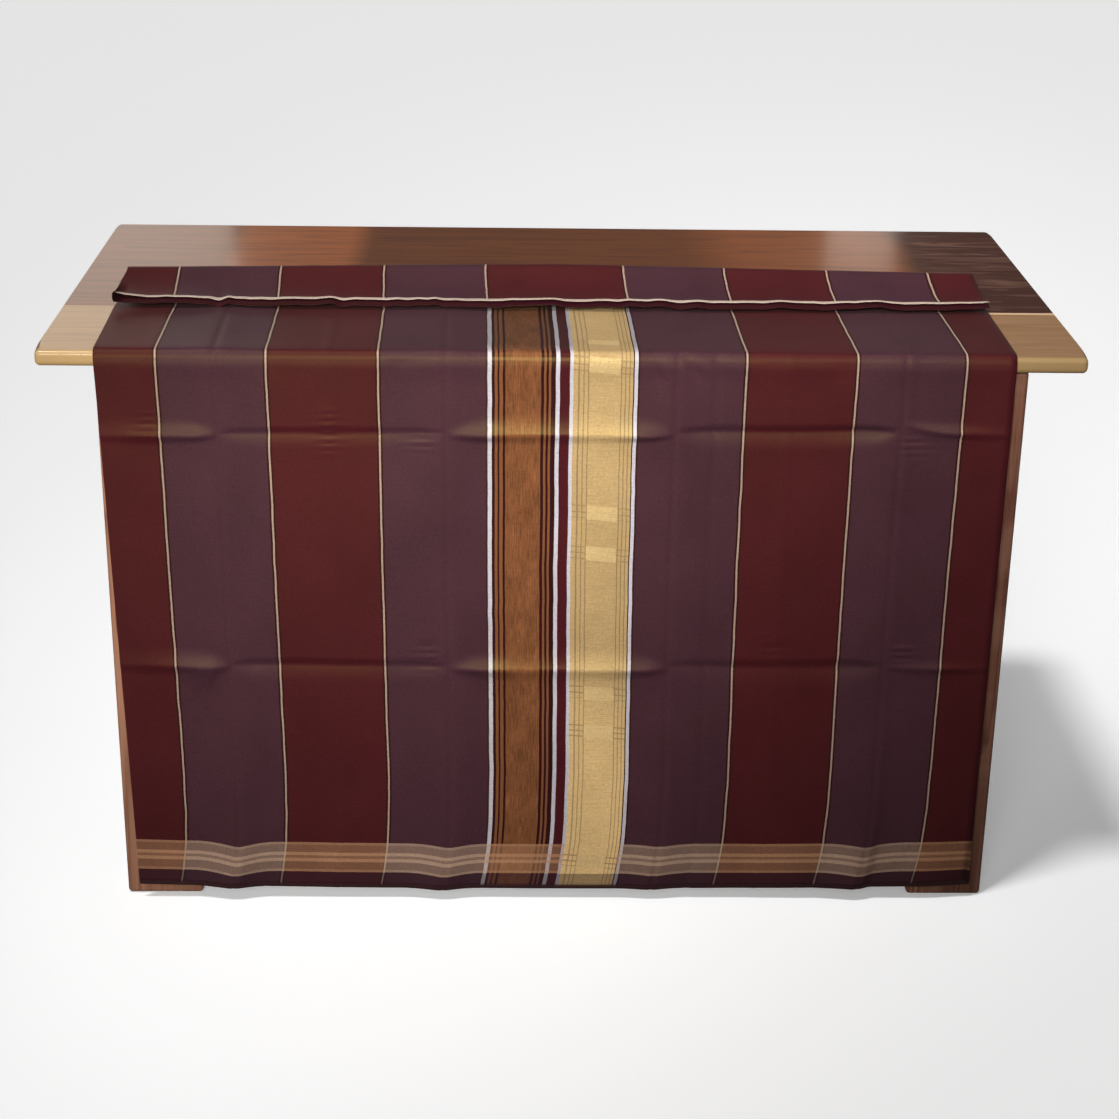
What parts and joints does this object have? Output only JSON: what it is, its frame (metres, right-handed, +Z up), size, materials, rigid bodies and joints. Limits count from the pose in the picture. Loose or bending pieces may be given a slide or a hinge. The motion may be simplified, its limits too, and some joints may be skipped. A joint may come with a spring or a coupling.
{
  "type": "sarong draped over a wooden table",
  "caption": "Handloom sarong, doubled in half, hanging over the front edge of a plain wooden table with its top end turned forward on itself.",
  "frame": {"origin": "on the floor, under the middle of the whole object's box", "axes": "+Z up, +X to the right along the table's front edge, -Y towards the side where the cloth hangs"},
  "size_m": [1.22, 0.6248, 0.7579],
  "materials": {
    "sarong_front": "plain handloom weave, matt with a faint sheen",
    "sarong_back": "plain handloom weave, matt with a faint sheen",
    "table_top": "glossy clear varnish",
    "table_frame": "satin varnish"
  },
  "bodies": {
    "root": {"front_half": "sarong_front", "back_half": "sarong_back", "top_board_front": "table_top", "top_board_middle": "table_top", "top_board_rear": "table_top", "top_board_edge": "table_top", "leg_front_left": "table_frame", "leg_front_right": "table_frame", "leg_rear_left": "table_frame", "leg_rear_right": "table_frame", "rail_front": "table_frame", "rail_rear": "table_frame", "rail_left": "table_frame", "rail_right": "table_frame"}
  },
  "joints": []
}
